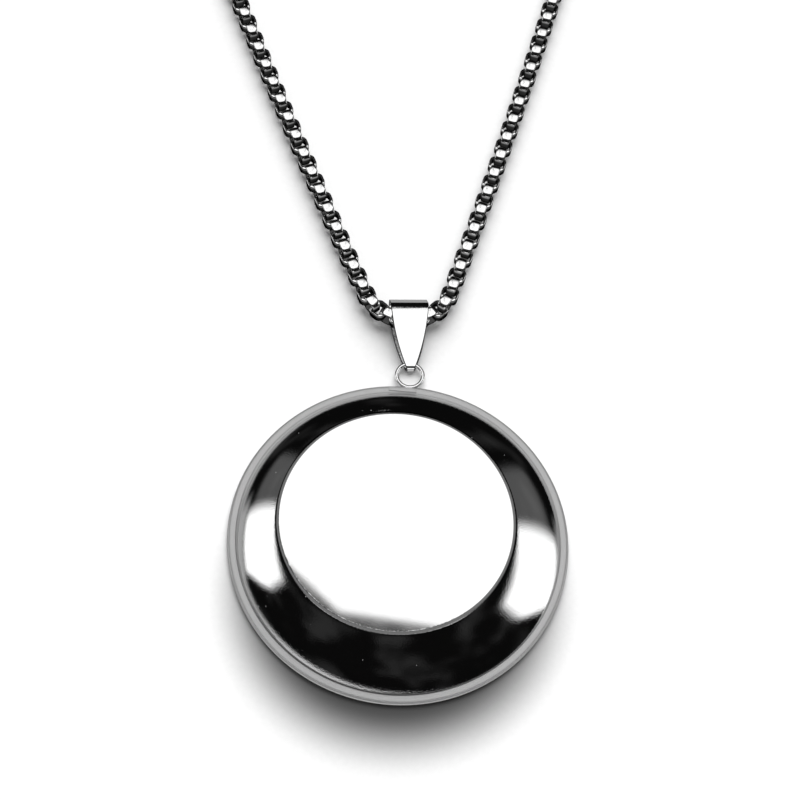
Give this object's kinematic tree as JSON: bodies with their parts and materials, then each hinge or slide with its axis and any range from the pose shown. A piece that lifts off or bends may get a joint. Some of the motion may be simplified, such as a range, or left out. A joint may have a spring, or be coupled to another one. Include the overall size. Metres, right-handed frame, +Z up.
{
  "type": "round medallion necklace",
  "caption": "Polished round domed medallion with a plain flat face, hung by a folded bail on a long round box chain that closes with a barrel clasp.",
  "frame": {"origin": "centre of the medallion's underside, on the surface that the necklace lies on", "axes": "+X across the medallion to the right, +Y from the medallion's middle through its lug ring towards the chain, +Z up from the surface"},
  "size_m": [0.1327, 0.3087, 0.0078],
  "materials": {
    "medallion_steel": "mirror-polished stainless steel with a satin rim",
    "bail_steel": "mirror-polished stainless steel strip",
    "chain_steel": "polished stainless steel links",
    "clasp_steel": "polished stainless steel"
  },
  "bodies": {
    "root": {"medallion": "medallion_steel", "bail": "bail_steel", "chain_front": "chain_steel", "chain_back": "chain_steel", "clasp": "clasp_steel"}
  },
  "joints": []
}
